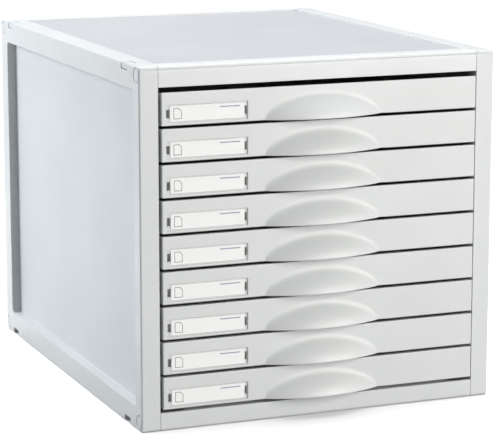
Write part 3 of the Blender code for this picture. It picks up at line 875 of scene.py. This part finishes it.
# ---- assembly -----------------------------------------------------------
def build_side(word, side, mats):
    """One side panel with its pegs and slot covers."""
    panel = side_panel_mesh(word, side)
    add_piece(f"side_{word}", panel, "cabinet",
              [mats["case"], mats["side_field"]], [f"{word}_side_panel"])
    for face in panel.polygons:
        at_floor = near(abs(face.center.x), OUT_X - RECESS_DEPTH)
        if at_floor and side * face.normal.x > FACING:
            face.material_index = 1
    peg = peg_mesh(side)
    for place in ("front_top", "front_bottom", "rear_top", "rear_bottom"):
        node = f"corner_peg_{word}_{place}"
        low, high = BOX[node]
        at = (0, (low.y + high.y) / 2, (low.z + high.z) / 2)
        add_piece(f"peg_{word}_{place}", peg, "cabinet", [mats["peg"]], [node], at)
    for place in ("front", "rear"):
        node = f"slot_cover_{word}_{place}"
        add_piece(f"cover_{word}_{place}", slot_cover_mesh(BOX[node]), "cabinet",
                  [mats["peg"]], [node])


def build_case(mats):
    """The side, top, bottom and back panels; the sunk fields get the second material."""
    build_side("left", -1, mats)
    build_side("right", 1, mats)
    top = top_panel_mesh()
    add_piece("top", top, "cabinet", [mats["top"], mats["field"]], ["top_panel"])
    for face in top.polygons:
        if face.normal.z > FACING and near(face.center.z, HEIGHT - FIELD_STEP):
            face.material_index = 1
    add_piece("bottom", bottom_panel_mesh(), "cabinet", [mats["case"]],
              ["bottom_panel"])
    add_piece("back", back_panel_mesh(), "cabinet", [mats["case"]], ["back_panel"])


def build_drawers(mats):
    """Nine drawers from one set of meshes; the printed marks stand for no CAD node."""
    # each kind's piece name, mesh, slot, material and CAD node
    kinds = (("front", drawer_front_mesh(), "front_plastic", "front", "drawer_front"),
             ("tray", drawer_tray_mesh(), "tray_plastic", "tray", "drawer_tray"),
             ("window", label_window_mesh(), "clear_plastic", "window", "label_window"),
             ("card", label_card_mesh(), "card", "card", "label_card"),
             ("card_sign", sign_mesh(), "card", "grey_ink", None),
             ("card_rule", rule_mesh(), "card", "violet_ink", None))
    for k in range(1, DRAWERS + 1):
        for name, mesh, slot, mat, node in kinds:
            add_piece(f"{name}_{k}", mesh, f"drawer_{k}", [mats[mat]],
                      [f"{node}_{k}"] if node else (), drawer_origin(k))


# ---- studio -------------------------------------------------------------
CAMERA_PLACE = (-0.7589, -1.8985, 0.5328)
CAMERA_TURN_DEG = 22.15        # to the right of +Y
CAMERA_DOWN_DEG = 11.06
CAMERA_LENS = 162.9            # focal length in mm
FLOOR_SIZE = 30.0
FLOOR_DROP = 0.1 * MM          # keeps the floor clear of the cabinet's underside
FLOOR_COLOUR = (0.95, 0.95, 0.95)
SKY_COLOUR = (0.93, 0.965, 1.0)
SKY_STRENGTH = 0.21
OVERHEAD_COLOUR = (0.985, 0.99, 1.0)
FILL_COLOUR = (0.92, 0.965, 1.0)
KEY_COLOUR = (1.0, 0.985, 0.955)


def aimed(name, data, place, aim):
    """A light at a place, turned to shine on a point."""
    obj = add_object(name, data)
    obj.location = place
    obj.rotation_euler = (Vector(aim) - Vector(place)).to_track_quat("-Z", "Y").to_euler()
    return obj


def soft_sun(name, towards, strength, spread_deg, colour=(1, 1, 1)):
    """Even light from one direction, as from a far, wide diffuser."""
    data = bpy.data.lights.new(name, "SUN")
    data.energy = strength
    data.angle = math.radians(spread_deg)
    data.color = colour
    return aimed(name, data, towards, (0, 0, 0))


def soft_box(name, place, aim, size, watts, colour):
    """Square area light."""
    data = bpy.data.lights.new(name, "AREA")
    data.shape = "SQUARE"
    data.size = size
    data.energy = watts
    data.color = colour
    return aimed(name, data, place, aim)


def build_floor():
    """Pale floor that adds no diffuse light to the cabinet."""
    bm = bmesh.new()
    bmesh.ops.create_grid(bm, x_segments=2, y_segments=2, size=FLOOR_SIZE / 2)
    mesh = to_mesh(bm, "floor")
    nodes = Nodes("floor_white")
    nodes.shader_value("Base Color", (*FLOOR_COLOUR, 1))
    nodes.shader_value("Roughness", MATT)
    mesh.materials.append(nodes.mat)
    floor = add_object("floor", mesh)
    floor.location.z = -FLOOR_DROP
    floor.visible_diffuse = False
    return floor


def build_lights(floor):
    """Sky, soft light from above, left and right, and a wash that only the floor gets."""
    world = bpy.data.worlds.new("studio")
    world.use_nodes = True
    background = world.node_tree.nodes["Background"]
    background.inputs["Color"].default_value = (*SKY_COLOUR, 1)
    background.inputs["Strength"].default_value = SKY_STRENGTH
    bpy.context.scene.world = world
    bpy.context.scene.view_settings.view_transform = "Standard"
    soft_sun("overhead", towards=(0.1, 0.4, 1.0), strength=3.6, spread_deg=50,
             colour=OVERHEAD_COLOUR)
    soft_box("left_fill", place=(-0.95, 0.65, 0.6), aim=(-0.16, 0, 0.2), size=0.6, watts=10.5,
             colour=FILL_COLOUR)
    soft_box("right_key", place=(1.6, -2.8, 0.95), aim=(0, -0.1, 0.15), size=2.2, watts=114,
             colour=KEY_COLOUR)
    wash = soft_sun("floor_wash", towards=(0, 0, 1), strength=2.0, spread_deg=60)
    wash.light_linking.receiver_collection = bpy.data.collections.new("sweep")
    wash.light_linking.receiver_collection.objects.link(floor)


def build_camera():
    """Camera at the photograph's viewing angle."""
    data = bpy.data.cameras.new("camera")
    data.lens = CAMERA_LENS
    camera = add_object("camera", data)
    camera.location = CAMERA_PLACE
    camera.rotation_euler = (math.radians(90 - CAMERA_DOWN_DEG), 0, -math.radians(CAMERA_TURN_DEG))
    bpy.context.scene.camera = camera


materials = make_materials()
build_case(materials)
build_drawers(materials)
build_lights(build_floor())
build_camera()
